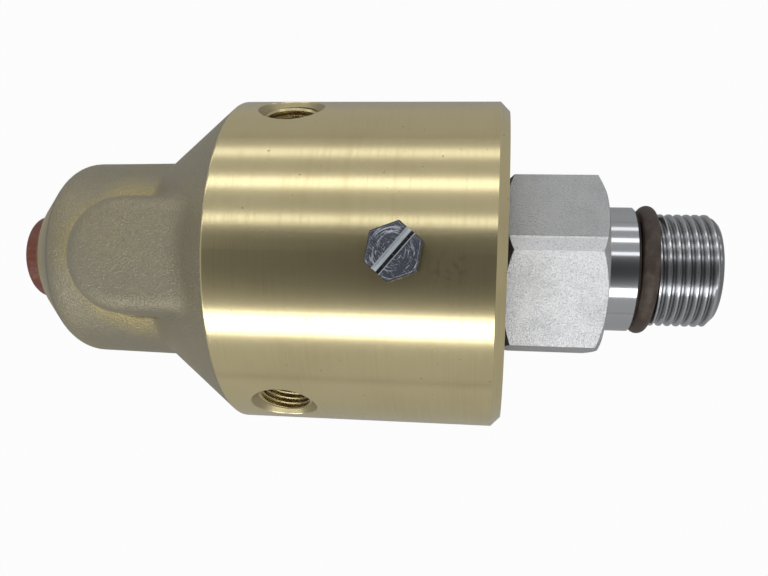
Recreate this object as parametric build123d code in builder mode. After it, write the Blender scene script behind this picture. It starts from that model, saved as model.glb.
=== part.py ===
# Single-passage hydraulic rotary union: a brass housing that stays still, carried by two
# ball bearings on a steel rotor that screws into a turning shaft.
#
# Frame: millimetres, X is the axis of rotation and points out of the threaded rotor end,
# +Z passes through the grease plug, and the origin is on the axis at the rotor's seating
# shoulder, where the hexagon meets the pilot.

from build123d import *
from math import cos, radians, sin, tan
import os

os.makedirs("parts", exist_ok=True)

# ---------------------------------------------------------------- driving dimensions
# Rotor, outside the housing
thread_crest_d = 19.8       # M20 x 1.5 external thread, over its crests
thread_len = 10.6
thread_end_chamfer = 1.2
pilot_d = 22.0
pilot_len = 5.6
pilot_chamfer = 0.5
relief_depth = 1.4          # thread relief, which also seats the O-ring
relief_len = 3.1
hex_af = 29.6
hex_chamfer_angle = 30.0
hex_chamfer_crown = 0.05    # bulge of the turned chamfers
hex_face_inset = 0.3        # round end faces, inside the flats
hex_turn = 6.0              # rest angle of a corner from +Z toward +Y, degrees
hex_in_mouth = 0.3          # how far the hexagon reaches into the housing's mouth
rotor_wall = 4.5            # journal wall round the flow bore
rotor_ring_section = 2.45   # the rotor's O-ring, pressed in by the shaft's counterbore

# Housing barrel
face_setback = 16.8         # seating shoulder back to the housing's open face
barrel_d = 57.8
barrel_len = 46.2
barrel_chamfer = 1.6
barrel_edge = 0.6
collar_step = 3.4           # rotor collar that the front bearing stands against

# Housing casting: cone, nose and port end
cone_angle = 38.1
nose_root_d = 36.0
nose_len = 17.6
nose_draft = 1.0
nose_blend = 2.0
nose_corner = 5.0
end_cone_len = 5.6
port_rim_d = 23.2

# Raised wrench pads on two sides of the nose
pad_width = 19.8
pad_below_barrel = 4.9      # the pad's flat below the barrel's surface
pad_reach = 11.2            # from the nose's root to the outermost point of the pad
pad_round = 3.0
pad_draft = 3.0
pad_blend = 2.0             # cast fillet where a pad meets the cone and the nose

# Port
port_bore_d = 15.8          # tapped 3/8 inch, drawn at the middle of its thread
port_depth = 15.5

# Bearings: two 16004 deep-groove ball bearings, 20 x 42 x 8
bearing_bore = 20.0
bearing_od = 42.0
bearing_width = 8.0
ball_d = 5.0
ball_count = 10
race_clearance = 0.06
pocket_play = 0.1           # radial, each ball in its cage pocket
bearing_slip = 0.015        # radial, outer rings in the housing
shoulder_depth = 1.0        # depth of the ball groove in either ring
shield_t = 0.5
shield_inset = 0.15
bearing_edge = 0.4
spacer_len = 5.7
spacer_wall = 2.6
spacer_groove_w = 3.2
spacer_groove_depth = 1.0
spacer_hole_d = 2.4

# Retaining rings
housing_ring_t = 1.75
housing_ring_wall = 3.4
housing_ring_setback = 3.85  # open face to the ring's groove
housing_groove_depth = 1.25
rotor_ring_t = 1.2
rotor_ring_wall = 2.4
rotor_groove_depth = 0.5
groove_play = 0.10

# Grease point and vents
grease_thread_d = 4.8
grease_plug_short = 2.3     # shank's end, short of the bearing bore
grease_head_af = 7.9
grease_head_h = 2.6
grease_slot_w = 1.3
grease_slot_depth = 1.3
grease_gasket_t = 0.4
vent_d = 9.1                # tapped 1/8 inch, drawn at the minor diameter
vent_rim_d = 10.6
vent_angles = (60.0, 180.0, 300.0)

# Dust slinger
slinger_t = 2.4
slinger_lip = 0.8
slinger_gap = 0.4           # to the wall of the mouth
slinger_setback = 0.35      # behind the hexagon

# Face seal
bearing_shoulder = 3.0      # housing shoulder behind the rear bearing
chamber_beyond_barrel = 1.8  # vent chamber's inner wall, past the barrel's end
seal_face_to_wall = 9.7     # running seal face to the chamber's inner wall
vent_ahead_of_face = 1.8    # middle of the vents, ahead of the seal face
seal_film = 0.02            # gap that the fluid film fills
seal_travel = 1.5
seal_bore_step = 0.5        # seal bores wider than the rotor's, on the radius
seal_seat_wall = 1.4        # rotor wall round the hard ring
seal_seat_play = 0.1
seal_ring_t = 5.0
seal_ring_proud = 0.8
seal_ring_section = 1.3     # O-ring behind the hard ring
carbon_inset = 0.8          # carbon nose inside the hard ring's edge
carbon_step = 1.3           # carbon body outside its nose
carbon_bore_step = 0.4
carbon_nose_len = 1.6
carbon_len = 5.6
carbon_seat_depth = 3.4
carrier_tube_len = 16.5
carrier_flange_gap = 1.6    # flange inside the vent chamber
carrier_flange_t = 2.5
carrier_wall = 1.7
slide_clearance = 0.04      # radial, carrier tube in the housing
slide_ring_clearance = 0.05  # radial, the carrier's O-ring in the housing
ring_groove_w = 2.3
ring_groove_depth = 1.6
pin_d = 2.5
pin_edge = 1.2              # pin centres inside the flange's edge
pin_hole_depth = 3.5
pin_play = 0.25
spring_wire = 1.4
spring_bore_gap = 1.2       # coil off the carrier's tube
spring_wall_gap = 1.2       # coil off the pocket's wall
spring_turns = 2.75
spring_pocket_depth = 6.5

# Port plug
plug_clearance = 0.06       # radial, stem in the port
plug_stem_len = 11.0
plug_wall = 1.3
plug_head_inset = 0.25      # head inside the port's rim
plug_head_h = 5.1
plug_tip_d = 13.6
plug_crown = 0.35           # bulge of the head's side
plug_tip_round = 1.2
plug_end_taper = 0.5

seat_clearance = 0.02       # radial, rubber rings on what carries them

# ---------------------------------------------------------------- places along the axis
face_x = -face_setback
thread_x0 = pilot_len + relief_len
rotor_tip_x = thread_x0 + thread_len
hex_back_x = face_x - hex_in_mouth

front_ring_x = face_x - housing_ring_setback
front_bearing_x1 = front_ring_x - housing_ring_t
front_bearing_x0 = front_bearing_x1 - bearing_width
grease_x = front_bearing_x0 - spacer_len / 2
rear_bearing_x1 = front_bearing_x0 - spacer_len
rear_bearing_x0 = rear_bearing_x1 - bearing_width

barrel_back_x = face_x - barrel_len
chamber_x = barrel_back_x - chamber_beyond_barrel
seal_face_x = chamber_x + seal_face_to_wall
vent_x = seal_face_x + vent_ahead_of_face
rotor_inner_x = seal_face_x + seal_ring_proud

cone_len = (barrel_d - nose_root_d) / 2 / tan(radians(cone_angle))
nose_root_x = barrel_back_x - cone_len
nose_end_x = nose_root_x - nose_len
port_face_x = nose_end_x - end_cone_len
port_floor_x = port_face_x + port_depth

carbon_x1 = seal_face_x - seal_film
carbon_x0 = carbon_x1 - carbon_len
carrier_x1 = carbon_x0 + carbon_seat_depth
carrier_flange_x1 = carbon_x0 + carrier_flange_t / 2
carrier_flange_x0 = carrier_flange_x1 - carrier_flange_t
carrier_x0 = carrier_flange_x0 - carrier_tube_len
pocket_floor_x = chamber_x - spring_pocket_depth
carrier_ring_x = (carrier_x0 + pocket_floor_x) / 2 - seal_travel / 2

# ---------------------------------------------------------------- radii that several pieces share
barrel_r = barrel_d / 2
outer_r = bearing_od / 2
bore_r = outer_r + bearing_slip
journal_r = bearing_bore / 2
pitch_r = (bearing_bore + bearing_od) / 4
inner_land_r = pitch_r - ball_d / 2 + shoulder_depth
outer_land_r = pitch_r + ball_d / 2 - shoulder_depth
collar_r = journal_r + collar_step
chamber_r = outer_r - bearing_shoulder
relief_r = thread_crest_d / 2 - relief_depth
seal_seat_r = journal_r - seal_seat_wall
hard_ring_r = seal_seat_r - seal_seat_play
flow_bore_r = journal_r - rotor_wall
seal_bore_r = flow_bore_r + seal_bore_step
carbon_nose_r = hard_ring_r - carbon_inset
carbon_r = carbon_nose_r + carbon_step
slide_r = carbon_r + slide_clearance
flange_r = chamber_r - carrier_flange_gap
pin_circle_r = flange_r - pin_edge
spring_r = carbon_r + spring_bore_gap + spring_wire / 2
pocket_r = spring_r + spring_wire / 2 + spring_wall_gap
port_r = port_bore_d / 2


def save(part, name):
    """Label a finished piece and write it as its own STEP file."""
    part.label = name
    export_step(part, f"parts/{name}.step")


def ring_outline(x0, x1, r0, r1):
    """Closed outline of a plain ring's section, for use inside a BuildSketch."""
    with Locations(((x0 + x1) / 2, (r0 + r1) / 2)):
        Rectangle(x1 - x0, r1 - r0)


def corner(sketch, x, r):
    """The corner of a section that lies nearest to (x, r)."""
    return sketch.vertices().sort_by_distance((x, r))[0]


# ================================================================ housing
# Brass casting: a turned barrel, a cast cone and nose, and two raised wrench pads.
nose_end_r = nose_root_d / 2 - nose_len * tan(radians(nose_draft))
pad_half = pad_width / 2
pad_tip_x = nose_root_x - pad_reach
vent_sink = (vent_rim_d - vent_d) / 2

with BuildPart() as housing:
    # outer skin
    with BuildSketch(Plane.XZ) as skin:
        with BuildLine():
            Polyline(
                (face_x, 0),
                (face_x, barrel_r - barrel_chamfer),
                (face_x - barrel_chamfer, barrel_r),
                (barrel_back_x, barrel_r),
                (nose_root_x, nose_root_d / 2),
                (nose_end_x, nose_end_r),
                (port_face_x, port_rim_d / 2),
                (port_face_x, 0),
                close=True,
            )
        make_face()
        fillet(corner(skin, barrel_back_x, barrel_r), barrel_edge)
        fillet(corner(skin, nose_root_x, nose_root_d / 2), nose_blend)
        fillet(corner(skin, nose_end_x, nose_end_r), nose_corner)
    revolve(axis=Axis.X)

# One wrench pad: flat top, round tip toward the port, drafted sides and a rounded rim.
with BuildPart() as pad:
    with BuildSketch(Plane.XY.offset(port_r / 2)):
        with Locations((pad_tip_x + pad_half, 0)):
            Circle(pad_half)
        with Locations(((pad_tip_x + pad_half + barrel_back_x) / 2, 0)):
            Rectangle(barrel_back_x - pad_tip_x - pad_half, pad_width)
    extrude(amount=barrel_r - pad_below_barrel - port_r / 2, taper=pad_draft)
    fillet(pad.edges().group_by(Axis.Z)[-1], pad_round)

with housing:
    for wrench_pad in (pad.part, pad.part.mirror(Plane.XY)):
        add(wrench_pad)
        fillet(housing.edges(Select.NEW), pad_blend)

    # inside, from the open mouth to the port
    with BuildSketch(Plane.XZ):
        with BuildLine():
            Polyline(
                (face_x, 0),
                (face_x, bore_r),
                (front_ring_x + groove_play / 2, bore_r),
                (front_ring_x + groove_play / 2, bore_r + housing_groove_depth),
                (front_bearing_x1 - groove_play / 2, bore_r + housing_groove_depth),
                (front_bearing_x1 - groove_play / 2, bore_r),
                (rear_bearing_x0, bore_r),
                (rear_bearing_x0, chamber_r),
                (chamber_x, chamber_r),
                (chamber_x, pocket_r),
                (pocket_floor_x, pocket_r),
                (pocket_floor_x, slide_r),
                (port_floor_x + abs(port_r - slide_r), slide_r),
                (port_floor_x, port_r),
                (port_face_x, port_r),
                (port_face_x, 0),
                close=True,
            )
        make_face()
    revolve(axis=Axis.X, mode=Mode.SUBTRACT)

    # vents: three tapped holes round the barrel, each with a countersunk rim
    for angle in vent_angles:
        out = (0, -sin(radians(angle)), cos(radians(angle)))
        top = Plane(origin=(vent_x, out[1] * barrel_r, out[2] * barrel_r), z_dir=out)
        with Locations(top):
            Cylinder(
                vent_d / 2, barrel_r - chamber_r / 2, align=(Align.CENTER, Align.CENTER, Align.MAX),
                mode=Mode.SUBTRACT,
            )
            with Locations((0, 0, -vent_sink / 2)):
                Cone(
                    vent_d / 2, vent_rim_d / 2 + vent_sink, 2 * vent_sink,
                    align=(Align.CENTER, Align.CENTER, Align.CENTER), mode=Mode.SUBTRACT,
                )

    # tapped hole for the grease plug
    with Locations(Plane(origin=(grease_x, 0, barrel_r), z_dir=(0, 0, 1))):
        Cylinder(
            grease_thread_d / 2, barrel_r - bore_r + 1, align=(Align.CENTER, Align.CENTER, Align.MAX),
            mode=Mode.SUBTRACT,
        )

    # blind holes for the two anti-rotation pins
    for side in (-1, 1):
        with Locations(Plane(origin=(chamber_x, side * pin_circle_r, 0), z_dir=(1, 0, 0))):
            Cylinder(
                pin_d / 2, pin_hole_depth, align=(Align.CENTER, Align.CENTER, Align.MAX),
                mode=Mode.SUBTRACT,
            )
save(housing.part, "housing")

# ================================================================ port plug
# Moulded shipping plug: a hollow stem in the port and a domed head on the port's rim.
plug_r = port_r - plug_clearance
head_r = port_rim_d / 2 - plug_head_inset
plug_tip_x = port_face_x - plug_head_h
plug_in_x = port_face_x + plug_stem_len
hollow_r = plug_r - plug_wall

with BuildPart() as port_plug:
    with BuildSketch(Plane.XZ) as section:
        with BuildLine():
            head_edge = (port_face_x, head_r)
            tip_edge = (plug_tip_x, plug_tip_d / 2)
            crest_x = (port_face_x + plug_tip_x) / 2 - plug_crown
            crest_r = (head_r + plug_tip_d / 2) / 2 + plug_crown
            ThreePointArc(head_edge, (crest_x, crest_r), tip_edge)
            Polyline(
                tip_edge,
                (plug_tip_x, 0),
                (port_face_x - plug_wall, 0),
                (port_face_x - plug_wall, hollow_r),
                (plug_in_x, hollow_r - plug_end_taper),
                (plug_in_x, plug_r - plug_end_taper),
                (port_face_x, plug_r),
                head_edge,
            )
        make_face()
        fillet(corner(section, plug_tip_x, plug_tip_d / 2), plug_tip_round)
    revolve(axis=Axis.X)
save(port_plug.part, "port_plug")

# ================================================================ rotor
# One steel turning: hexagon, pilot, relief, thread, collar and bearing journal, bored through.
hex_corner_r = hex_af / 2 / cos(radians(30))
chamfer_r = hex_af / 2 - hex_face_inset
chamfer_run = (hex_corner_r - chamfer_r) * tan(radians(hex_chamfer_angle))
crown_in = chamfer_run / 2 - hex_chamfer_crown * cos(radians(hex_chamfer_angle))
crown_r = (chamfer_r + hex_corner_r) / 2 + hex_chamfer_crown * sin(radians(hex_chamfer_angle))
seal_seat_x = seal_face_x + seal_ring_t

with BuildPart() as rotor:
    with BuildSketch(Plane.YZ.offset(hex_back_x)):
        RegularPolygon(hex_af / 2, 6, major_radius=False, rotation=90 - hex_turn)
    extrude(amount=-hex_back_x)
    with BuildSketch(Plane.XZ):
        with BuildLine():
            back_in = (hex_back_x, chamfer_r)
            back_out = (hex_back_x + chamfer_run, hex_corner_r)
            front_out = (-chamfer_run, hex_corner_r)
            front_in = (0, chamfer_r)
            Polyline(back_in, (hex_back_x, 0), (0, 0), front_in)
            ThreePointArc(front_in, (-crown_in, crown_r), front_out)
            Line(front_out, back_out)
            ThreePointArc(back_out, (hex_back_x + crown_in, crown_r), back_in)
        make_face()
    revolve(axis=Axis.X, mode=Mode.INTERSECT)
    with BuildSketch(Plane.XZ):
        with BuildLine():
            Polyline(
                (rotor_inner_x, 0),
                (rotor_inner_x, journal_r - 0.6),
                (rotor_inner_x + 0.6, journal_r),
                (rear_bearing_x0 - rotor_ring_t - groove_play / 2, journal_r),
                (rear_bearing_x0 - rotor_ring_t - groove_play / 2, journal_r - rotor_groove_depth),
                (rear_bearing_x0 + groove_play / 2, journal_r - rotor_groove_depth),
                (rear_bearing_x0 + groove_play / 2, journal_r),
                (front_bearing_x1, journal_r),
                (front_bearing_x1, collar_r),
                (hex_back_x, collar_r),
                (hex_back_x, pilot_d / 2),
                (pilot_len - pilot_chamfer, pilot_d / 2),
                (pilot_len, pilot_d / 2 - pilot_chamfer),
                (pilot_len, relief_r),
                (thread_x0, relief_r),
                (thread_x0, thread_crest_d / 2),
                (rotor_tip_x - thread_end_chamfer, thread_crest_d / 2),
                (rotor_tip_x, thread_crest_d / 2 - thread_end_chamfer),
                (rotor_tip_x, 0),
                close=True,
            )
        make_face()
    revolve(axis=Axis.X)
    with BuildSketch(Plane.XZ):
        ring_outline(rotor_inner_x, rotor_tip_x, 0, flow_bore_r)
        ring_outline(rotor_inner_x, seal_seat_x, 0, seal_seat_r)
    revolve(axis=Axis.X, mode=Mode.SUBTRACT)
save(rotor.part, "rotor")

# ================================================================ rotor O-ring
rotor_ring_r = relief_r + seat_clearance + rotor_ring_section / 2

with BuildPart() as rotor_o_ring:
    with BuildSketch(Plane.XZ):
        with Locations((pilot_len + rotor_ring_section / 2 + seat_clearance, rotor_ring_r)):
            Circle(rotor_ring_section / 2)
    revolve(axis=Axis.X)
save(rotor_o_ring.part, "rotor_o_ring")

# ================================================================ dust slinger
# Rubber disc on the rotor's collar that closes the mouth behind the hexagon.
slinger_x1 = hex_back_x - slinger_setback
slinger_x0 = slinger_x1 - slinger_t
slinger_r = bore_r - slinger_gap
slinger_w = slinger_r - collar_r

with BuildPart() as dust_slinger:
    with BuildSketch(Plane.XZ):
        with BuildLine():
            Polyline(
                (slinger_x0, collar_r),
                (slinger_x1, collar_r),
                (slinger_x1, collar_r + 0.35 * slinger_w),
                (slinger_x1 - slinger_lip, collar_r + 0.5 * slinger_w),
                (slinger_x1 - slinger_lip, slinger_r - 0.15 * slinger_w),
                (slinger_x1, slinger_r),
                (slinger_x0 + slinger_lip, slinger_r),
                (slinger_x0, slinger_r - slinger_lip),
                close=True,
            )
        make_face()
    revolve(axis=Axis.X)
save(dust_slinger.part, "dust_slinger")


# ================================================================ ball bearings
def make_bearing(name, x0):
    """Write the six pieces of one shielded ball bearing whose back face is at x0."""
    x1 = x0 + bearing_width
    middle = (x0 + x1) / 2
    race_r = ball_d / 2 + race_clearance
    shield_depth = shield_inset + shield_t
    shield_seat_r = outer_land_r + 0.6

    with BuildPart() as inner_ring:
        with BuildSketch(Plane.XZ) as section:
            ring_outline(x0, x1, journal_r, inner_land_r)
            chamfer(corner(section, x0, journal_r), bearing_edge)
            chamfer(corner(section, x1, journal_r), bearing_edge)
            with Locations((middle, pitch_r)):
                Circle(race_r, mode=Mode.SUBTRACT)
        revolve(axis=Axis.X)
    save(inner_ring.part, f"{name}_inner_ring")

    with BuildPart() as outer_ring:
        with BuildSketch(Plane.XZ) as section:
            ring_outline(x0, x1, outer_land_r, outer_r)
            chamfer(corner(section, x0, outer_r), bearing_edge)
            chamfer(corner(section, x1, outer_r), bearing_edge)
            with Locations((middle, pitch_r)):
                Circle(race_r, mode=Mode.SUBTRACT)
            with Locations((x0 + shield_depth / 2, outer_land_r), (x1 - shield_depth / 2, outer_land_r)):
                Rectangle(shield_depth, 2 * (shield_seat_r - outer_land_r), mode=Mode.SUBTRACT)
        revolve(axis=Axis.X)
    save(outer_ring.part, f"{name}_outer_ring")

    with BuildPart() as balls:
        with Locations(Plane(origin=(middle, 0, 0), z_dir=(1, 0, 0))):
            with PolarLocations(pitch_r, ball_count):
                Sphere(ball_d / 2)
    save(balls.part, f"{name}_balls")

    with BuildPart() as cage:
        with BuildSketch(Plane.XZ):
            ring_outline(
                middle - ball_d * 0.6, middle + ball_d * 0.6, inner_land_r + 0.5, outer_land_r - 0.5
            )
        revolve(axis=Axis.X)
        with Locations(Plane(origin=(middle, 0, 0), z_dir=(1, 0, 0))):
            with PolarLocations(pitch_r, ball_count):
                Cylinder(ball_d / 2 + pocket_play, ball_d, rotation=(0, 90, 0), mode=Mode.SUBTRACT)
    save(cage.part, f"{name}_cage")

    for side, edge in (("back", x0 + shield_inset), ("front", x1 - shield_inset - shield_t)):
        with BuildPart() as shield:
            with BuildSketch(Plane.XZ):
                ring_outline(edge, edge + shield_t, inner_land_r + 0.15, shield_seat_r)
            revolve(axis=Axis.X)
        save(shield.part, f"{name}_{side}_shield")


make_bearing("front_bearing", front_bearing_x0)
make_bearing("rear_bearing", rear_bearing_x0)

# ================================================================ bearing spacers
# The outer ring carries a grease groove and holes under the grease plug.
with BuildPart() as outer_spacer:
    with BuildSketch(Plane.XZ):
        ring_outline(rear_bearing_x1, front_bearing_x0, outer_r - spacer_wall, outer_r)
        with Locations((grease_x, outer_r)):
            Rectangle(spacer_groove_w, 2 * spacer_groove_depth, mode=Mode.SUBTRACT)
    revolve(axis=Axis.X)
    for angle in (45, 135, 225, 315):
        out = (0, -sin(radians(angle)), cos(radians(angle)))
        with Locations(Plane(origin=(grease_x, out[1] * outer_r, out[2] * outer_r), z_dir=out)):
            Cylinder(spacer_hole_d / 2, 2 * spacer_wall, mode=Mode.SUBTRACT)
save(outer_spacer.part, "outer_spacer")

with BuildPart() as inner_spacer:
    with BuildSketch(Plane.XZ):
        ring_outline(rear_bearing_x1, front_bearing_x0, journal_r, journal_r + spacer_wall)
    revolve(axis=Axis.X)
save(inner_spacer.part, "inner_spacer")

# ================================================================ retaining rings
lug_r = 2.6
lug_hole_r = 1.1
lug_angle = 12.0


def lug_places(r):
    """The two lug centres of a retaining ring, on a sketch whose X is -Y and Y is Z."""
    return [(r * sin(radians(a)), -r * cos(radians(a))) for a in (-lug_angle, lug_angle)]


with BuildPart() as housing_retaining_ring:
    with BuildSketch(Plane(origin=(front_bearing_x1, 0, 0), x_dir=(0, 1, 0), z_dir=(1, 0, 0))):
        Circle(bore_r + housing_groove_depth - groove_play / 2)
        Circle(bore_r + housing_groove_depth - housing_ring_wall, mode=Mode.SUBTRACT)
        with Locations(*lug_places(bore_r - lug_r)):
            Circle(lug_r)
        with Locations((0, -bore_r)):
            Rectangle(2 * bore_r * sin(radians(lug_angle / 3)), 3 * housing_ring_wall, mode=Mode.SUBTRACT)
        with Locations(*lug_places(bore_r - lug_r)):
            Circle(lug_hole_r, mode=Mode.SUBTRACT)
    extrude(amount=housing_ring_t)
save(housing_retaining_ring.part, "housing_retaining_ring")

with BuildPart() as rotor_retaining_ring:
    ring_in_r = journal_r - rotor_groove_depth + groove_play / 2
    with BuildSketch(Plane(origin=(rear_bearing_x0, 0, 0), x_dir=(0, 1, 0), z_dir=(-1, 0, 0))):
        Circle(ring_in_r + rotor_ring_wall)
        with Locations((0, journal_r + lug_r)):
            SlotCenterToCenter(2 * lug_r, 2 * lug_r)
        Circle(ring_in_r, mode=Mode.SUBTRACT)
        with Locations((0, journal_r + lug_r)):
            Rectangle(lug_r * 0.7, 5 * lug_r, mode=Mode.SUBTRACT)
        with Locations((-lug_r * 1.1, journal_r + lug_r), (lug_r * 1.1, journal_r + lug_r)):
            Circle(lug_hole_r * 0.8, mode=Mode.SUBTRACT)
    extrude(amount=rotor_ring_t)
save(rotor_retaining_ring.part, "rotor_retaining_ring")

# ================================================================ grease plug and gasket
head_seat_z = barrel_r + grease_gasket_t
head_turn = 39.5            # rest angle of the screw's hexagon, degrees
slot_turn = 45.0

with BuildPart() as grease_plug:
    with BuildSketch(Plane.XY.offset(head_seat_z)):
        with Locations((grease_x, 0)):
            RegularPolygon(grease_head_af / 2, 6, major_radius=False, rotation=-head_turn)
    extrude(amount=grease_head_h)
    chamfer(grease_plug.edges().group_by(Axis.Z)[-1], 0.35)
    with Locations((grease_x, 0, head_seat_z)):
        Cylinder(
            grease_thread_d / 2 - seat_clearance, head_seat_z - bore_r - grease_plug_short,
            align=(Align.CENTER, Align.CENTER, Align.MAX),
        )
    with BuildSketch(Plane.XY.offset(head_seat_z + grease_head_h)):
        with Locations(Location((grease_x, 0, 0), slot_turn)):
            Rectangle(2 * grease_head_af, grease_slot_w)
    extrude(amount=-grease_slot_depth, mode=Mode.SUBTRACT)
save(grease_plug.part, "grease_plug")

# Soft gasket, pressed to the barrel's curve underneath and flat under the head.
with BuildPart() as grease_gasket:
    with BuildSketch(Plane.XY.offset(barrel_r - grease_gasket_t)):
        with Locations((grease_x, 0)):
            Circle(grease_head_af / 2 - 0.3)
            Circle(grease_thread_d / 2, mode=Mode.SUBTRACT)
    extrude(amount=2 * grease_gasket_t)
    with BuildSketch(Plane.XZ):
        ring_outline(grease_x - grease_head_af, grease_x + grease_head_af, 0, barrel_r)
    revolve(axis=Axis.X, mode=Mode.SUBTRACT)
save(grease_gasket.part, "grease_gasket")

# ================================================================ hard seal ring and its O-ring
# Turns with the rotor; its lapped face stands proud of the rotor's inner end.
hard_groove_r = seal_seat_r - seal_ring_section
hard_groove_x = seal_seat_x - seal_ring_t / 2 + seal_ring_proud / 2

with BuildPart() as seal_hard_ring:
    with BuildSketch(Plane.XZ):
        ring_outline(seal_face_x, seal_seat_x, seal_bore_r, hard_ring_r)
        with Locations((hard_groove_x, (hard_groove_r + hard_ring_r) / 2)):
            Rectangle(seal_ring_section * 1.3, hard_ring_r - hard_groove_r, mode=Mode.SUBTRACT)
    revolve(axis=Axis.X)
save(seal_hard_ring.part, "seal_hard_ring")

with BuildPart() as hard_ring_o_ring:
    with BuildSketch(Plane.XZ):
        with Locations((hard_groove_x, hard_groove_r + seal_ring_section / 2)):
            Circle(seal_ring_section / 2 - seat_clearance)
    revolve(axis=Axis.X)
save(hard_ring_o_ring.part, "hard_ring_o_ring")

# ================================================================ floating seal
# Carbon ring bonded into a carrier that slides on an O-ring and is kept from turning by two pins.
with BuildPart() as carbon_ring:
    with BuildSketch(Plane.XZ):
        ring_outline(carbon_x0, carbon_x1 - carbon_nose_len, seal_bore_r + carbon_bore_step, carbon_r)
        ring_outline(carbon_x0, carbon_x1, seal_bore_r + carbon_bore_step, carbon_nose_r)
    revolve(axis=Axis.X)
save(carbon_ring.part, "carbon_ring")

groove_floor_r = carbon_r - ring_groove_depth
with BuildPart() as seal_carrier:
    with BuildSketch(Plane.XZ):
        ring_outline(carrier_x0, carbon_x0, seal_bore_r, carbon_r)
        ring_outline(carrier_flange_x0, carrier_x1, seal_bore_r, carbon_r + carrier_wall)
        ring_outline(carrier_flange_x0, carrier_flange_x1, seal_bore_r, flange_r)
        with Locations(((carbon_x0 + carrier_x1) / 2, carbon_r / 2)):
            Rectangle(carrier_x1 - carbon_x0, carbon_r, mode=Mode.SUBTRACT)
        with Locations((carrier_ring_x, (groove_floor_r + carbon_r) / 2)):
            Rectangle(ring_groove_w, ring_groove_depth, mode=Mode.SUBTRACT)
    revolve(axis=Axis.X)
    for side in (-1, 1):
        with BuildSketch(Plane(origin=(carrier_flange_x0, 0, 0), x_dir=(0, 1, 0), z_dir=(1, 0, 0))):
            with Locations((side * (pin_circle_r + pin_edge), 0)):
                Rectangle(2 * pin_edge, pin_d + 2 * pin_play)
            with Locations((side * pin_circle_r, 0)):
                Circle(pin_d / 2 + pin_play)
        extrude(amount=carrier_flange_t, mode=Mode.SUBTRACT)
save(seal_carrier.part, "seal_carrier")

carrier_ring_section = slide_r - slide_ring_clearance - groove_floor_r
with BuildPart() as carrier_o_ring:
    with BuildSketch(Plane.XZ):
        with Locations((carrier_ring_x, groove_floor_r + carrier_ring_section / 2)):
            Circle(carrier_ring_section / 2 - seat_clearance)
    revolve(axis=Axis.X)
save(carrier_o_ring.part, "carrier_o_ring")

pin_len = pin_hole_depth + (carrier_flange_x1 - chamber_x) + 1.5
for side, name in ((-1, "anti_rotation_pin_1"), (1, "anti_rotation_pin_2")):
    with BuildPart() as pin:
        with Locations(Plane(origin=(chamber_x - pin_hole_depth, side * pin_circle_r, 0), z_dir=(1, 0, 0))):
            Cylinder(pin_d / 2, pin_len, align=(Align.CENTER, Align.CENTER, Align.MIN))
        chamfer(pin.edges().group_by(Axis.X)[-1], 0.3)
    save(pin.part, name)

# ================================================================ seal spring
spring_room = carrier_flange_x0 - pocket_floor_x
with BuildPart() as seal_spring:
    with BuildLine() as coil:
        Helix(
            pitch=(spring_room - spring_wire) / spring_turns,
            height=spring_room - spring_wire,
            radius=spring_r,
            center=(pocket_floor_x + spring_wire / 2, 0, 0),
            direction=(1, 0, 0),
        )
    with BuildSketch(Plane(origin=coil.line @ 0, z_dir=coil.line % 0)):
        Circle(spring_wire / 2)
    sweep(is_frenet=True)
save(seal_spring.part, "seal_spring")
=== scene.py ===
from math import cos, pi, radians, sin, tan

import bmesh
import bpy
from mathutils import Matrix, Vector


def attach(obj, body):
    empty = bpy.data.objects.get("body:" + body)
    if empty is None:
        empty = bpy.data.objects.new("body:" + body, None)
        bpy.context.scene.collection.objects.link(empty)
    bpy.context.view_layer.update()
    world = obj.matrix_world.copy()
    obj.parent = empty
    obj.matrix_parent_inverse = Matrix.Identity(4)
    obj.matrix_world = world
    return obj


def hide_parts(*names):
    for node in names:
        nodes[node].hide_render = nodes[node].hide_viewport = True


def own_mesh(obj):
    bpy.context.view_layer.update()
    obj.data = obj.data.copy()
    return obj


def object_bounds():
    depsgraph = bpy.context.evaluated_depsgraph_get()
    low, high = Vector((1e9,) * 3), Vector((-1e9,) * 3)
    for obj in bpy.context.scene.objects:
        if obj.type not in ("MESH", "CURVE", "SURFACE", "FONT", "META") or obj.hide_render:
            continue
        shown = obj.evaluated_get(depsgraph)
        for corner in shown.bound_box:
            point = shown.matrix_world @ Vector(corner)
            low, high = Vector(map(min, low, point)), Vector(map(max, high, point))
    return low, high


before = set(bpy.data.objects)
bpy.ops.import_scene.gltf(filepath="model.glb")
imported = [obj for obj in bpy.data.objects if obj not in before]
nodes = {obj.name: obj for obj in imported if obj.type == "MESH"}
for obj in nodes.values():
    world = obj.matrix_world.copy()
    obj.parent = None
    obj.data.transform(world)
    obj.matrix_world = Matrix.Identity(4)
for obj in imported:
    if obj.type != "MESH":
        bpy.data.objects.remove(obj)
cad_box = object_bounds()
mm = 0.001


# Housing: one brass casting, left as cast on the cone, nose and wrench pads, and turned on
# the barrel, the chamfers and the port end. It stands still in use, held by its hose.
# Its sizes, like every piece's, are millimetres from the middle of the hexagon's seat face.
barrel_r = 28.9
barrel_back_x = -63.0
port_face_x = -100.1
port_rim_r = 12.4
port_wall_r = 9.6
nose_corner_x = -95.5
pad_middle_x = -79.0
pad_middle_y = -0.7
pad_outline = 10.3
vent_x = -53.3
vent_reach = 7.0
stain_x = -25.4
stain_y = -2.2
turned_brass = (0.738, 0.626, 0.353)
tarnished_brass = (0.616, 0.506, 0.264)
specked_brass = (0.230, 0.180, 0.095)
cast_brass = (0.380, 0.340, 0.240)
cast_brass_warm = (0.520, 0.430, 0.215)
# Painted shade colour, for the creases of the casting and for the vents' mouths.
shaded_brass = (0.200, 0.170, 0.105)
sand_depth = 0.230
coarse_sand_depth = 0.055
crease_depth = 0.06
turning_depth = 0.008
wide_turning_depth = 0.004


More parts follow.
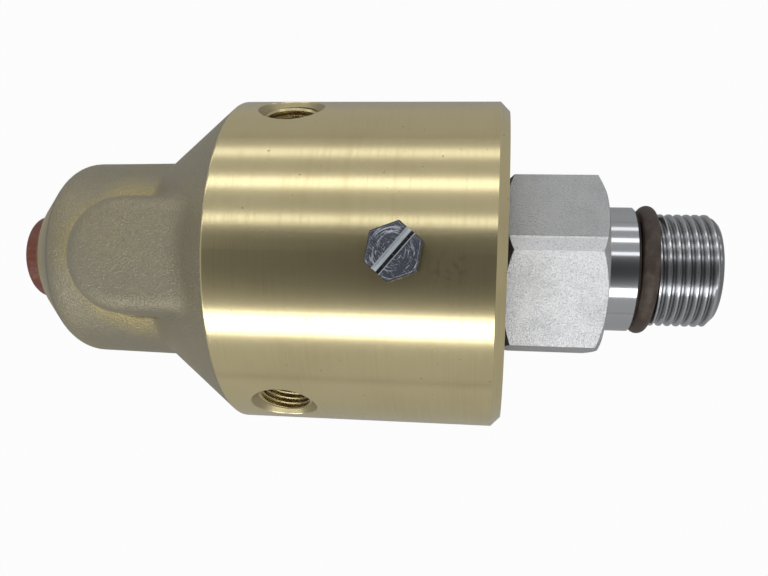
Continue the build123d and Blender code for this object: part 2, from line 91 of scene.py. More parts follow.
class Value:
    """One number, colour or shader in a set of nodes. Arithmetic on it adds Math nodes."""

    def __init__(self, owner, socket):
        self.owner, self.socket = owner, socket

    def __add__(self, other):
        return self.owner.maths("ADD", self, other)

    __radd__ = __add__

    def __mul__(self, other):
        return self.owner.maths("MULTIPLY", self, other)

    __rmul__ = __mul__

    def __sub__(self, other):
        return self.owner.maths("SUBTRACT", self, other)

    def __rsub__(self, other):
        return self.owner.maths("SUBTRACT", other, self)


class Nodes:
    """The nodes of one material, or of the room's light."""

    def __init__(self, shown_on):
        shown_on.use_nodes = True
        self.tree = shown_on.node_tree
        self.tree.nodes.clear()

    def wire(self, value, socket):
        """Link a Value to a socket, or set the socket to a plain number, vector or colour."""
        if isinstance(value, Value):
            self.tree.links.new(value.socket, socket)
        elif isinstance(value, tuple) and socket.type == "RGBA":
            socket.default_value = (*value, 1.0)
        else:
            socket.default_value = value

    def give(self, node, sockets):
        """Fill a node's sockets by name, with _ for each space."""
        for name, value in sockets.items():
            self.wire(value, node.inputs[name.replace("_", " ")])

    def node(self, kind, settings=None, output=0, places=(), **sockets):
        """A node of that kind. Its settings come first, then the sockets known by their place in
        its list, then those known by name."""
        made = self.tree.nodes.new("ShaderNode" + kind)
        for name, value in (settings or {}).items():
            setattr(made, name, value)
        for place, value in places:
            self.wire(value, made.inputs[place])
        self.give(made, sockets)
        return Value(self, made.outputs[output])

    def maths(self, operation, *values):
        return self.node("Math", {"operation": operation}, places=enumerate(values))

    def blend(self, share, first, second):
        """Two colours mixed, where share is how much of the second there is."""
        return self.node(
            "Mix", {"data_type": "RGBA"}, output=2, places=((0, share), (6, first), (7, second))
        )

    def ramp(self, value, low, high, first=0.0, last=1.0):
        """Smooth step from first, where value is low, to last, where it is high."""
        return self.node(
            "MapRange", {"interpolation_type": "SMOOTHSTEP"}, Value=value,
            From_Min=low, From_Max=high, To_Min=first, To_Max=last,
        )

    def show(self, kind, share, first, second):
        """Draw the material or the room as two shaders, share being how much of the second."""
        mixed = self.node("MixShader", places=((0, share), (1, first), (2, second)))
        self.wire(mixed, self.tree.nodes.new("ShaderNodeOutput" + kind).inputs["Surface"])


class Finish(Nodes):
    """A surface finish: one Principled shader and the piece's own coordinates in millimetres."""

    def __init__(self, name, **sockets):
        self.material = bpy.data.materials.new(name)
        super().__init__(self.material)
        self.shader = self.tree.nodes.new("ShaderNodeBsdfPrincipled")
        end = self.tree.nodes.new("ShaderNodeOutputMaterial")
        self.tree.links.new(self.shader.outputs[0], end.inputs["Surface"])
        self.give(self.shader, sockets)
        place = self.node("TexCoord", output="Object")
        self.place = self.node("VectorMath", {"operation": "SCALE"}, Vector=place, Scale=1 / mm)
        self.x, self.y, self.z = (
            self.node("SeparateXYZ", output=way, Vector=self.place) for way in "XYZ"
        )

    def radius(self, across, up):
        """Distance from an axis, from two coordinates measured off it."""
        return self.maths("SQRT", across * across + up * up)

    def point(self, x, y, z):
        return self.node("CombineXYZ", X=x, Y=y, Z=z)

    def grain(self, per_mm, detail=2.0, rough=0.5, at=None):
        """Even noise with that many grains a millimetre."""
        return self.node(
            "TexNoise", Vector=at or self.place, Scale=per_mm, Detail=detail, Roughness=rough
        )

    def lathe(self, along, per_mm, detail):
        """Fine lines round an axis, as a turning tool leaves them."""
        return self.grain(per_mm, detail, 0.6, self.point(along, 0.0, 0.0))

    def relief(self, height):
        """Small relief, its height in millimetres."""
        bump = self.node("Bump", Strength=1.0, Distance=mm, Height=height)
        self.give(self.shader, {"Normal": bump})

    def put_on(self, *pieces):
        for piece in pieces:
            piece.data.materials.clear()
            piece.data.materials.append(self.material)


brass = Finish("brass_casting")
from_axis = brass.radius(brass.y, brass.z)
off_port_face = brass.maths(
    "MAXIMUM", brass.ramp(brass.x, port_face_x, port_face_x + 0.3),
    brass.ramp(from_axis, port_rim_r - 0.3, port_rim_r),
)
is_cast = (
    brass.ramp(brass.x, barrel_back_x + 0.05, barrel_back_x - 0.12)
    * off_port_face * brass.ramp(from_axis, port_wall_r - 0.3, port_wall_r)
)
by_port = brass.ramp(brass.x, port_face_x + 3.6, port_face_x + 1.6)
on_nose = brass.ramp(brass.x, pad_middle_x + 5.0, pad_middle_x + 1.0)
from_pad = brass.radius(
    brass.maths("MINIMUM", brass.x - pad_middle_x, 0.0), brass.y - pad_middle_y
) - pad_outline
# Painted reflection: beside the pad's rounded tip the nose is drawn warmer, as if lit by light
# thrown off the pad's side.
painted_pad_reflection = brass.ramp(from_pad, 5.0, 0.3) * brass.ramp(from_pad, -0.4, 0.1) * on_nose
# Painted shade: dark lines along the foot of the pad's tip and round the nose's corner, where the
# surface turns away. They are also sunk a little in the relief.
pad_crease_shade = brass.ramp(brass.maths("ABSOLUTE", from_pad), 0.40, 0.10) * on_nose
nose_corner_shade = brass.ramp(brass.maths("ABSOLUTE", brass.x - nose_corner_x), 0.55, 0.10)
painted_crease_shade = brass.maths("MAXIMUM", pad_crease_shade, nose_corner_shade) * is_cast
# Painted shade: inside the vents' mouths, below the barrel's surface, the brass is drawn darker. It
# is also made rougher there.
in_vent = brass.ramp(from_axis, barrel_r - 0.04, barrel_r - 0.12) * brass.ramp(
    brass.maths("ABSOLUTE", brass.x - vent_x), vent_reach, vent_reach - 0.2
)

sand = brass.grain(2.8, 2.0, 0.65)
coarse_sand = brass.grain(0.8, 2.0, 0.5)
tool_lines = brass.lathe(brass.x, 5.5, 3.0)
wide_lines = brass.lathe(brass.x, 0.9, 2.0)
streaks = brass.grain(1.0, 3.0, 0.6, brass.point(brass.x * 3.2, brass.y * 0.05, brass.z * 0.05))
clouds = brass.grain(0.09, 3.0, 0.55)
specks = brass.ramp(brass.grain(1.5, 1.0, 0.4), 0.77, 0.79)
off_top = 1.0 - brass.ramp(brass.z, 20.0, 24.0)
from_stain = brass.radius(brass.x - stain_x, brass.y - stain_y) + off_top * 20.0
stain = brass.ramp(from_stain, 3.6, 1.6) * brass.ramp(brass.grain(0.9, 2.0, 0.5), 0.52, 0.60)

turned_tone = brass.blend(
    brass.ramp(clouds * 0.6 + streaks * 0.6, 0.50, 0.86) * 0.55, turned_brass, tarnished_brass
)
turned_tone = brass.blend(specks * 0.6, turned_tone, specked_brass)
turned_tone = brass.blend(stain * 0.2, turned_tone, specked_brass)
turned_tone = brass.blend(in_vent * 0.55, turned_tone, shaded_brass)
# Cast brass is warmer with its grain and clouds, towards the port end, and with the painted
# reflection beside the pad.
warmth_and_pad_reflection = sand * 0.4 + clouds * 0.7 + painted_pad_reflection * 0.30 + by_port * 0.28
cast_tone = brass.blend(brass.ramp(warmth_and_pad_reflection, 0.50, 1.00), cast_brass, cast_brass_warm)
cast_tone = brass.blend(painted_crease_shade * 0.55, cast_tone, shaded_brass)
brass.give(brass.shader, {
    "Base Color": brass.blend(is_cast, turned_tone, cast_tone),
    "Metallic": 0.90 - is_cast * 0.08,
    "Roughness": (
        is_cast * (0.19 + sand * 0.12) + 0.115 + tool_lines * 0.08 + streaks * 0.05
        + specks * 0.15 + in_vent * 0.22
    ),
})
turning = (tool_lines - 0.5) * turning_depth + (wide_lines - 0.5) * wide_turning_depth
casting = (
    (sand - 0.5) * sand_depth + (coarse_sand - 0.5) * coarse_sand_depth - painted_crease_shade * crease_depth
)
brass.relief(turning + is_cast * (casting - turning))
brass.put_on(nodes["housing"])


# Vent threads: the 1/8 inch tapping in the three holes round the barrel, cut into the same
# brass and left open, so that leakage past the seal can drain.
vent_angles = (60.0, 180.0, 300.0)
vent_pitch = 0.94
vent_wall_r = 4.55
vent_crest_r = 4.08
vent_crest_width = 0.12
vent_first_crest = 19.0
vent_thread_in = 18.25
vent_thread_out = 27.75
vent_skin = 0.08


def thread_skin(mesh, start, end, pitch, inner_r, outer_r, first, crest, steps):
    """Zigzag section from start to end on the X axis, spun one turn while it climbs one pitch.
    Crests of outer_r pass first where the thread faces +Z, and crest is their width."""
    flank = (pitch - 2 * crest) / 2
    depth = outer_r - inner_r
    section = [(-crest / 2, outer_r), (crest / 2, outer_r)]
    section += [
        (crest / 2 + flank * part, outer_r - depth * part) for part in (0.33, 0.67, 1.0)
    ]
    section += [
        (3 * crest / 2 + flank * (1 + part), inner_r + depth * part) for part in (0.0, 0.33, 0.67)
    ]
    chain = []
    for turn in range(int((start - first) // pitch) - 2, int((end - first) // pitch) + 3):
        for along, radius in section:
            spot = (first + turn * pitch + along, 0.0, radius)
            if not chain or (chain[-1].co.x, chain[-1].co.z) != (spot[0], radius):
                chain.append(mesh.verts.new(spot))
    edges = [mesh.edges.new(pair) for pair in zip(chain, chain[1:])]
    bmesh.ops.spin(
        mesh, geom=chain + edges, cent=(0, 0, 0), axis=(1, 0, 0), dvec=(pitch / steps, 0, 0),
        angle=2 * pi, steps=steps, use_merge=False, use_duplicate=False,
    )
    bmesh.ops.remove_doubles(mesh, verts=mesh.verts[:], dist=1e-4)
    for cut, outward in ((start, False), (end, True)):
        bmesh.ops.bisect_plane(
            mesh, geom=mesh.verts[:] + mesh.edges[:] + mesh.faces[:], dist=1e-6,
            plane_co=(cut, 0, 0), plane_no=(1, 0, 0), clear_outer=outward, clear_inner=not outward,
        )


def off_axis(vert):
    """A vertex's distance from the X axis."""
    return (vert.co.y ** 2 + vert.co.z ** 2) ** 0.5


def open_loop(mesh, x, low_r, high_r):
    """Open edges that lie round the axis at x, between two radii."""
    return [
        edge for edge in mesh.edges
        if edge.is_boundary
        and all(abs(v.co.x - x) < 2e-3 and low_r < off_axis(v) < high_r for v in edge.verts)
    ]


def finished(mesh, name, body, finish, place=Matrix.Identity(4), sharp=28.0):
    """Turn a bmesh in millimetres into a piece in the frame, and let it ride on its body.
    Edges that bend by more than sharp degrees stay sharp; the rest is shaded smooth."""
    mesh.transform(Matrix.Scale(mm, 4) @ place)
    bmesh.ops.recalc_face_normals(mesh, faces=mesh.faces[:])
    if mesh.calc_volume(signed=True) < 0:
        bmesh.ops.reverse_faces(mesh, faces=mesh.faces[:])
    for face in mesh.faces:
        face.smooth = True
    for edge in mesh.edges:
        edge.smooth = edge.calc_face_angle(pi) < radians(sharp)
    made = bpy.data.meshes.new(name)
    mesh.to_mesh(made)
    mesh.free()
    piece = bpy.data.objects.new(name, made)
    bpy.context.scene.collection.objects.link(piece)
    finish.put_on(piece)
    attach(piece, body)
    return piece


tapped = Finish("tapped_brass", Metallic=1.0)
tapped.give(tapped.shader, {
    "Base Color": tapped.blend(tapped.grain(0.8), turned_brass, tarnished_brass),
    "Roughness": 0.20 + tapped.grain(3.0) * 0.15,
})
tapped.relief((tapped.grain(4.0) - 0.5) * 0.012)

for number, angle in enumerate(vent_angles, 1):
    vent = bmesh.new()
    thread_skin(
        vent, vent_thread_in, vent_thread_out, vent_pitch, vent_wall_r, vent_crest_r,
        vent_first_crest, vent_crest_width, 72,
    )
    rims = []
    for end in (vent_thread_in, vent_thread_out):
        ring = bmesh.ops.create_circle(
            vent, segments=72, radius=vent_wall_r + vent_skin,
            matrix=Matrix.Translation((end, 0, 0)) @ Matrix.Rotation(pi / 2, 4, "Y"),
        )["verts"]
        rim = [edge for edge in vent.edges if edge.verts[0] in ring and edge.verts[1] in ring]
        inside = open_loop(vent, end, 3.0, vent_wall_r + vent_skin / 2)
        bmesh.ops.bridge_loops(vent, edges=rim + inside)
        rims += rim
    bmesh.ops.bridge_loops(vent, edges=rims)
    turn = Matrix.Rotation(radians(angle), 4, "X") @ Matrix.Rotation(-pi / 2, 4, "Y")
    finished(
        vent, f"vent_thread_{number}", "housing_set", tapped,
        Matrix.Translation((vent_x, 0, 0)) @ turn,
    )


# Wrench pads: two flats raised on the casting for a wrench, rolled over at their edges and
# run out softly into the cone. They are part of the housing, left with the mould's skin.
pad_top_z = 24.05
pad_roll = 3.0
pad_foot_z = 12.5
pad_draft = 5.0
pad_closed_z = 10.0
run_out_x = -64.5
run_out_blend = 1.6
cone_start_x = -76.9
cone_start_r = 18.0
cone_slope = tan(radians(38.1))
pad_sink = 0.02

roll_z = pad_top_z - pad_roll
lean = (roll_z - pad_foot_z) * tan(radians(pad_draft))
roll_inset = lean + pad_roll
pad_section = [(0.0, pad_foot_z), (lean / 2, (pad_foot_z + roll_z) / 2)]
pad_section += [
    (lean + pad_roll * (1 - cos(radians(turn))), pad_top_z - pad_roll * (1 - sin(radians(turn))))
    for turn in range(0, 91, 9)
]
pad_section += [
    (roll_inset + (pad_outline - roll_inset) * part / 6, pad_top_z) for part in range(1, 7)
]
along_side = [run_out_x + (pad_middle_x - run_out_x) * step / 40 for step in range(40)]
round_tip = [pi / 2 + pi * step / 56 for step in range(57)]
pads = bmesh.new()
for face_way in (1, -1):
    rows = []
    for inset, level in pad_section:
        half = pad_outline - inset
        outline = [(x, half) for x in along_side]
        outline += [(pad_middle_x + half * cos(turn), half * sin(turn)) for turn in round_tip]
        outline += [(x, -half) for x in reversed(along_side)]
        row = []
        for x, off_middle in outline:
            y = off_middle + pad_middle_y * face_way
            cone_r = cone_start_r + (x - cone_start_x) * cone_slope
            cone_z = max(cone_r ** 2 - y ** 2, 0.0) ** 0.5 - pad_sink
            blended = max(run_out_blend - abs(level - cone_z), 0.0) / run_out_blend
            z = max(level, cone_z) + blended ** 2 * run_out_blend / 4
            row.append(pads.verts.new((x, y * face_way, z * face_way)))
        rows.append(row)
    for outer, inner in zip(rows, rows[1:]):
        for step in range(len(outer) - 1):
            pads.faces.new((outer[step], outer[step + 1], inner[step + 1], inner[step]))
bmesh.ops.remove_doubles(pads, verts=pads.verts[:], dist=1e-4)
bmesh.ops.dissolve_degenerate(pads, edges=pads.edges[:], dist=1e-5)
foot_edges = [edge for edge in pads.edges if edge.is_boundary]
skirt = bmesh.ops.extrude_edge_only(pads, edges=foot_edges)["geom"]
for vert in skirt:
    if isinstance(vert, bmesh.types.BMVert):
        vert.co.z = pad_closed_z if vert.co.z > 0 else -pad_closed_z
for side in (1, -1):
    bmesh.ops.contextual_create(pads, geom=[
        edge for edge in pads.edges if edge.is_boundary and edge.verts[0].co.z * side > 0
    ])
bmesh.ops.recalc_face_normals(pads, faces=pads.faces[:])
finished(pads, "wrench_pads", "housing_set", brass)


# Port lip: the end of the nose casting, coned down to a narrow rim round the port, and
# machined, so that a hose fitting seats on clean metal.
lip_section = (
    (-99.9, 7.95), (-99.9, 11.45), (-100.12, 11.50), (-102.45, 8.45), (-102.6, 8.3), (-102.6, 7.95),
)


def turned(section, closed):
    """A section of (x, radius) points spun one full turn round the X axis."""
    mesh = bmesh.new()
    points = [mesh.verts.new((x, 0.0, radius)) for x, radius in section]
    pairs = list(zip(points, points[1:])) + ([(points[-1], points[0])] if closed else [])
    lines = [mesh.edges.new(pair) for pair in pairs]
    bmesh.ops.spin(
        mesh, geom=points + lines, cent=(0, 0, 0), axis=(1, 0, 0), angle=2 * pi,
        steps=144, use_merge=True, use_duplicate=False,
    )
    bmesh.ops.remove_doubles(mesh, verts=mesh.verts[:], dist=1e-4)
    bmesh.ops.recalc_face_normals(mesh, faces=mesh.faces[:])
    return mesh


finished(turned(lip_section, True), "port_lip", "housing_set", brass)


# Rotor: one steel turning with a hexagon that is left blasted, a polished pilot, an O-ring
# relief and an M20 x 1.5 thread, by which it screws into the turning shaft.
thread_start = 8.7
thread_tip = 19.3
tip_chamfer = 1.2
thread_pitch = 1.5
crest_r = 9.9
root_r = 9.24
crest_width = 0.28
first_crest = 8.95
bore_r = 5.5
relief_r = 8.5
pilot_r = 11.3
hexagon_turn = 6.0
corner_strip_band = 10.3
steel = (0.570, 0.575, 0.581)
blasted_steel = (0.570, 0.562, 0.555)
# Painted light: a paler steel for every other flat of the hexagon, as the flats that face the window
# look, and for the corner strips.
lit_flat_steel = (0.790, 0.780, 0.770)
shadowed_steel = (0.230, 0.230, 0.235)
thread_steel = (0.560, 0.562, 0.568)
shaded_valley_steel = (0.290, 0.290, 0.295)
shot_depth = 0.130
strip_shot_cut = 0.080
strip_edge_depth = 0.06

rotor_steel = Finish("turned_steel", Metallic=1.0)
from_axis = rotor_steel.radius(rotor_steel.y, rotor_steel.z)
is_blasted = (
    rotor_steel.ramp(rotor_steel.x, 0.04, -0.04)
    * rotor_steel.ramp(from_axis, pilot_r, pilot_r + 0.2)
)
is_thread = rotor_steel.ramp(rotor_steel.x, thread_start - 0.2, thread_start)
swing = rotor_steel.maths("ARCTAN2", rotor_steel.y, rotor_steel.z) * (180 / pi)
past_corner = swing - hexagon_turn
# Painted highlight: a narrow strip beside one corner of each flat is drawn paler, smoother and with
# a finer blast, as a slightly rounded corner catches the light. A line in the relief marks its edge.
painted_corner_strip = (
    rotor_steel.ramp(past_corner, corner_strip_band, corner_strip_band - 0.5)
    * rotor_steel.ramp(past_corner, -0.2, 0.2) * is_blasted
)
strip_edge_line = painted_corner_strip * rotor_steel.ramp(past_corner, corner_strip_band - 2.2, corner_strip_band - 1.2)
# Painted light: every other flat of the hexagon is drawn in the paler steel.
every_other = rotor_steel.maths("FLOORED_MODULO", past_corner + 60.0, 120.0)
painted_lit_flats = rotor_steel.ramp(every_other, 60.2, 59.8)
shot = rotor_steel.grain(4.2, 2.0, 0.6)
patches = rotor_steel.grain(0.16, 3.0, 0.6)
tool_lines = rotor_steel.lathe(rotor_steel.x, 7.0, 2.0)

blasted_tone = rotor_steel.blend(
    rotor_steel.ramp(shot, 0.44, 0.72) * 0.42 + rotor_steel.ramp(patches, 0.45, 0.75) * 0.15,
    rotor_steel.blend(
        rotor_steel.maths("MAXIMUM", painted_lit_flats, painted_corner_strip), blasted_steel, lit_flat_steel
    ),
    shadowed_steel,
)
# Painted shade: the thread is drawn darker down in its valleys than on its crests.
threaded_tone = rotor_steel.blend(
    rotor_steel.ramp(from_axis, (crest_r + root_r) / 2 + 0.15, root_r + 0.1),
    thread_steel, shaded_valley_steel,
)
turned_tone = rotor_steel.blend(is_thread, steel, threaded_tone)
rotor_steel.give(rotor_steel.shader, {
    "Base Color": rotor_steel.blend(is_blasted, turned_tone, blasted_tone),
    "Roughness": (
        0.09 + tool_lines * 0.06 + is_thread * 0.08
        + is_blasted * (0.27 + patches * 0.12 - painted_corner_strip * 0.05)
    ),
})
turning = (tool_lines - 0.5) * 0.0030
blasting = (shot - 0.5) * (shot_depth - painted_corner_strip * strip_shot_cut) - turning
rotor_steel.relief(turning + is_blasted * (blasting + strip_edge_line * strip_edge_depth))

rotor = bmesh.new()
rotor.from_mesh(nodes["rotor"].data)
rotor.transform(Matrix.Scale(1 / mm, 4))
bmesh.ops.remove_doubles(rotor, verts=rotor.verts[:], dist=1e-4)
bmesh.ops.delete(rotor, context="FACES", geom=[
    face for face in rotor.faces
    if face.calc_center_median().x > thread_start - 1e-3
    and min(off_axis(v) for v in face.verts) > bore_r - 0.01
    and max(off_axis(v) for v in face.verts) > bore_r + 0.05
])
threaded = bmesh.new()
thread_skin(
    threaded, thread_start, thread_tip, thread_pitch, root_r, crest_r, first_crest, crest_width,
    120,
)
for vert in threaded.verts:
    radius = off_axis(vert)
    allowed = crest_r - max(0.0, vert.co.x - (thread_tip - tip_chamfer))
    if radius > allowed:
        vert.co.y *= allowed / radius
        vert.co.z *= allowed / radius
skin = bpy.data.meshes.new("thread_skin")
threaded.to_mesh(skin)
threaded.free()
rotor.from_mesh(skin)
for end, inner_r in ((thread_start, relief_r), (thread_tip, bore_r)):
    rims = open_loop(rotor, end, inner_r - 0.05, crest_r + 0.05)
    bmesh.ops.triangle_fill(rotor, edges=rims, use_beauty=True, normal=(1, 0, 0))
bmesh.ops.join_triangles(
    rotor, faces=rotor.faces[:], angle_face_threshold=radians(0.5), angle_shape_threshold=pi
)
rotor_piece = finished(rotor, "rotor_turning", "rotor_set", rotor_steel)
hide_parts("rotor")


# O-rings: moulded brown fluorocarbon rubber, one in the rotor's relief, where it seals on the
# shaft, one behind the hard ring and one round the sliding carrier. The first lies free, a
# little askew, until a shaft presses it.
ring_section = 2.85
ring_x = 7.30
ring_askew = 2.0
brown_rubber = (0.052, 0.032, 0.023)
worn_rubber = (0.100, 0.072, 0.048)

rubber = Finish("brown_rubber", Metallic=0.0)
bloom = rubber.grain(0.5, 3.0, 0.6)
rubber.give(rubber.shader, {
    "Base Color": rubber.blend(rubber.ramp(bloom, 0.40, 0.75), brown_rubber, worn_rubber),
    "Roughness": 0.42 + bloom * 0.15,
})
rubber.relief((rubber.grain(2.5, 3.0) - 0.5) * 0.012)
rubber.put_on(nodes["hard_ring_o_ring"], nodes["carrier_o_ring"])

ring = bmesh.new()
bmesh.ops.create_circle(
    ring, segments=36, radius=ring_section / 2,
    matrix=(
        Matrix.Translation((ring_x, 0, relief_r + ring_section / 2))
        @ Matrix.Rotation(pi / 2, 4, "X")
    ),
)
bmesh.ops.spin(
    ring, geom=ring.verts[:] + ring.edges[:], cent=(0, 0, 0), axis=(1, 0, 0), angle=2 * pi,
    steps=144, use_merge=True, use_duplicate=False,
)
bmesh.ops.rotate(
    ring, verts=ring.verts[:], cent=(ring_x, 0, 0),
    matrix=Matrix.Rotation(radians(-ring_askew), 3, "Z"),
)
ring_piece = finished(ring, "shaft_o_ring", "rotor_set", rubber)
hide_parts("rotor_o_ring")


# Dust slinger: a disc of black nitrile rubber pushed on the rotor's collar, which closes the
# mouth of the housing behind the hexagon and throws dirt off.
black_rubber = (0.020, 0.020, 0.021)
dusty_rubber = (0.055, 0.053, 0.050)

nitrile = Finish("black_rubber", Metallic=0.0)
dust = nitrile.grain(0.7, 3.0, 0.6)
nitrile.give(nitrile.shader, {
    "Base Color": nitrile.blend(nitrile.ramp(dust, 0.45, 0.80), black_rubber, dusty_rubber),
    "Roughness": 0.55 + dust * 0.20,
})
nitrile.relief((nitrile.grain(3.0, 2.0) - 0.5) * 0.010)
nitrile.put_on(nodes["dust_slinger"])


# Bearing rings and spacers: hardened steel, ground on every face, so that fine rings run
# round the axis. The outer ones are a push fit in the brass bore, the inner ones on the rotor.
ground_tone = (0.600, 0.610, 0.620)
oiled_tone = (0.430, 0.415, 0.380)

ground_steel = Finish("ground_steel", Metallic=1.0)
from_axis = ground_steel.radius(ground_steel.y, ground_steel.z)
grinding = ground_steel.grain(
    6.0, 2.0, 0.6, ground_steel.point(ground_steel.x, from_axis, 0.0)
)
oil = ground_steel.grain(0.12, 3.0, 0.6)
ground_steel.give(ground_steel.shader, {
    "Base Color": ground_steel.blend(ground_steel.ramp(oil, 0.45, 0.75), ground_tone, oiled_tone),
    "Roughness": 0.16 + grinding * 0.14,
})
ground_steel.relief((grinding - 0.5) * 0.004)
ground_steel.put_on(
    *(
        nodes[f"{end}_bearing_{which}_ring"]
        for end in ("front", "rear") for which in ("inner", "outer")
    ),
    nodes["outer_spacer"], nodes["inner_spacer"],
)


# Bearing balls: ten polished chrome-steel balls in each bearing, loose in the pockets of
# their cage, with a thin smear of grease.
ball_tone = (0.750, 0.755, 0.760)
smeared_tone = (0.560, 0.550, 0.520)

ball_steel = Finish("ball_steel", Metallic=1.0)
grease_film = ball_steel.grain(0.35, 3.0, 0.6)
ball_steel.give(ball_steel.shader, {
    "Base Color": ball_steel.blend(
        ball_steel.ramp(grease_film, 0.45, 0.75), ball_tone, smeared_tone
    ),
    "Roughness": 0.06 + grease_film * 0.10,
})
ball_steel.put_on(nodes["front_bearing_balls"], nodes["rear_bearing_balls"])


# Bearing cages: a moulded nylon ring in each bearing with one pocket to each ball, which
# keeps the balls apart and goes round with them.
nylon_tone = (0.620, 0.520, 0.330)
nylon_dark = (0.520, 0.420, 0.250)

nylon = Finish("cage_nylon", Metallic=0.0)
flow = nylon.grain(0.3, 2.0, 0.5)
nylon.give(nylon.shader, {
    "Base Color": nylon.blend(flow, nylon_tone, nylon_dark),
    "Roughness": 0.38 + flow * 0.12,
})
nylon.relief((nylon.grain(2.0, 2.0) - 0.5) * 0.006)
nylon.put_on(nodes["front_bearing_cage"], nodes["rear_bearing_cage"])


# Stainless pieces: pressed bearing shields, the turned carrier of the floating seal and its
# two anti-rotation pins, which are pressed into the brass.
stainless_tone = (0.590, 0.585, 0.570)
stainless_dark = (0.500, 0.490, 0.465)

stainless = Finish("stainless", Metallic=1.0)
from_axis = stainless.radius(stainless.y, stainless.z)
rings = stainless.grain(4.0, 2.0, 0.6, stainless.point(stainless.x, from_axis, 0.0))
stainless.give(stainless.shader, {
    "Base Color": stainless.blend(stainless.grain(0.15, 3.0), stainless_tone, stainless_dark),
    "Roughness": 0.20 + rings * 0.16,
})
stainless.relief((rings - 0.5) * 0.005)
stainless.put_on(
    *(
        nodes[f"{end}_bearing_{face}_shield"]
        for end in ("front", "rear") for face in ("front", "back")
    ),
    nodes["seal_carrier"], nodes["anti_rotation_pin_1"], nodes["anti_rotation_pin_2"],
)


# Retaining rings and seal spring: spring steel, phosphated dark grey and oiled. The rings
# snap into their grooves. The spring stands in its pocket behind the carrier, drawn at one
# length, though in the real union it shortens when the carrier floats back.
phosphate_tone = (0.085, 0.086, 0.090)
rubbed_tone = (0.260, 0.255, 0.250)

spring_steel = Finish("spring_steel", Metallic=0.9)
crystals = spring_steel.grain(2.2, 3.0, 0.65)
spring_steel.give(spring_steel.shader, {
    "Base Color": spring_steel.blend(
        spring_steel.ramp(crystals, 0.50, 0.80), phosphate_tone, rubbed_tone
    ),
    "Roughness": 0.36 + crystals * 0.18,
})
spring_steel.relief((crystals - 0.5) * 0.008)
spring_steel.put_on(nodes["housing_retaining_ring"], nodes["rotor_retaining_ring"])

spring = bmesh.new()
spring.from_mesh(nodes["seal_spring"].data)
spring.transform(Matrix.Scale(1 / mm, 4))
bmesh.ops.remove_doubles(spring, verts=spring.verts[:], dist=1e-4)
spring_piece = finished(spring, "float_spring", "housing_set", spring_steel)
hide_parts("seal_spring")
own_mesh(spring_piece)


# Seal faces: a lapped silicon-carbide ring that turns with the rotor, against a carbon
# graphite ring bonded into the carrier.
hard_tone = (0.050, 0.051, 0.054)
carbon_tone = (0.022, 0.022, 0.024)
carbon_worn = (0.060, 0.060, 0.062)

hard_face = Finish("hard_face", Metallic=0.0)
lapping = hard_face.grain(5.0, 2.0, 0.6)
hard_face.give(hard_face.shader, {
    "Base Color": hard_face.blend(lapping, hard_tone, carbon_worn),
    "Roughness": 0.12 + lapping * 0.12,
})
hard_face.put_on(nodes["seal_hard_ring"])

carbon = Finish("carbon_graphite", Metallic=0.0)
pores = carbon.grain(3.0, 3.0, 0.7)
carbon.give(carbon.shader, {
    "Base Color": carbon.blend(carbon.ramp(pores, 0.45, 0.80), carbon_tone, carbon_worn),
    "Roughness": 0.34 + pores * 0.22,
})
carbon.relief((pores - 0.5) * 0.010)
carbon.put_on(nodes["carbon_ring"])


# Shipping plug: red polyethylene, moulded hollow with a rounded end, and pushed into the port
# to keep it clean until a hose is fitted.
red_plastic = (0.175, 0.046, 0.026)
scuffed_red = (0.240, 0.110, 0.065)

plug_red = Finish("red_plug", Metallic=0.0, IOR=1.5)
scuffs = plug_red.grain(0.8, 3.0, 0.6)
plug_red.give(plug_red.shader, {
    "Base Color": plug_red.blend(plug_red.ramp(scuffs, 0.45, 0.80), red_plastic, scuffed_red),
    "Roughness": 0.30 + scuffs * 0.20,
})
plug_red.relief((plug_red.grain(0.9, 3.0) - 0.5) * 0.030)

plug_section = (
    (-103.7, 0.0), (-103.7, 6.5), (-89.1, 6.5), (-89.1, 7.5), (-89.5, 7.8), (-104.3, 7.72),
    (-104.75, 7.64), (-105.0, 7.45), (-105.15, 7.15), (-105.2, 6.7), (-105.2, 0.0),
)
plug_piece = finished(turned(plug_section, False), "plug_moulding", "plug", plug_red)
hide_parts("port_plug")


# Grease plug: a slotted hexagon screw of zinc-plated steel, turned tight on its gasket and
# scratched by the screwdriver.
grease_x = -33.25
screw_seat_z = 29.3
screw_top_z = 31.9
head_across = 7.9
head_turn = 39.5
head_chamfer = 0.30
slot_turn = 50.0
slot_width = 1.3
slot_depth = 1.3
shank_r = 2.38
shank_end_z = 23.4
zinc_tone = (0.420, 0.440, 0.550)
# Painted shade colour for the head's sides.
shaded_zinc = (0.110, 0.112, 0.130)
zinc_pale = (0.780, 0.810, 0.830)

zinc = Finish("zinc_plate")
across = zinc.x - grease_x
from_middle = zinc.radius(across, zinc.y)
swing = zinc.maths("ARCTAN2", zinc.y, across)
arcs = zinc.grain(1.0, 2.0, 0.7, zinc.point(from_middle * 5.0, swing * 1.3, zinc.z * 2.0))
hairs = zinc.grain(
    1.0, 2.0, 0.7, zinc.point(across * 4.0 + zinc.y * 4.0, (across - zinc.y) * 0.7, 0.0)
)
slot_side = across * sin(radians(slot_turn)) - zinc.y * cos(radians(slot_turn))
off_slot = zinc.maths("ABSOLUTE", slot_side)
slot_wall = slot_width / 2
slot_z = screw_top_z - slot_depth
# Painted highlight: the slot's walls and a narrow rim beside them are drawn pale.
in_slot = (
    zinc.ramp(off_slot, slot_wall + 0.20, slot_wall + 0.05)
    * zinc.ramp(zinc.z, slot_z + 0.05, slot_z + 0.3)
)
slot_floor = (
    zinc.ramp(off_slot, slot_wall + 0.02, slot_wall - 0.02)
    * zinc.ramp(zinc.z, screw_top_z - 0.3, screw_top_z - 0.6)
)
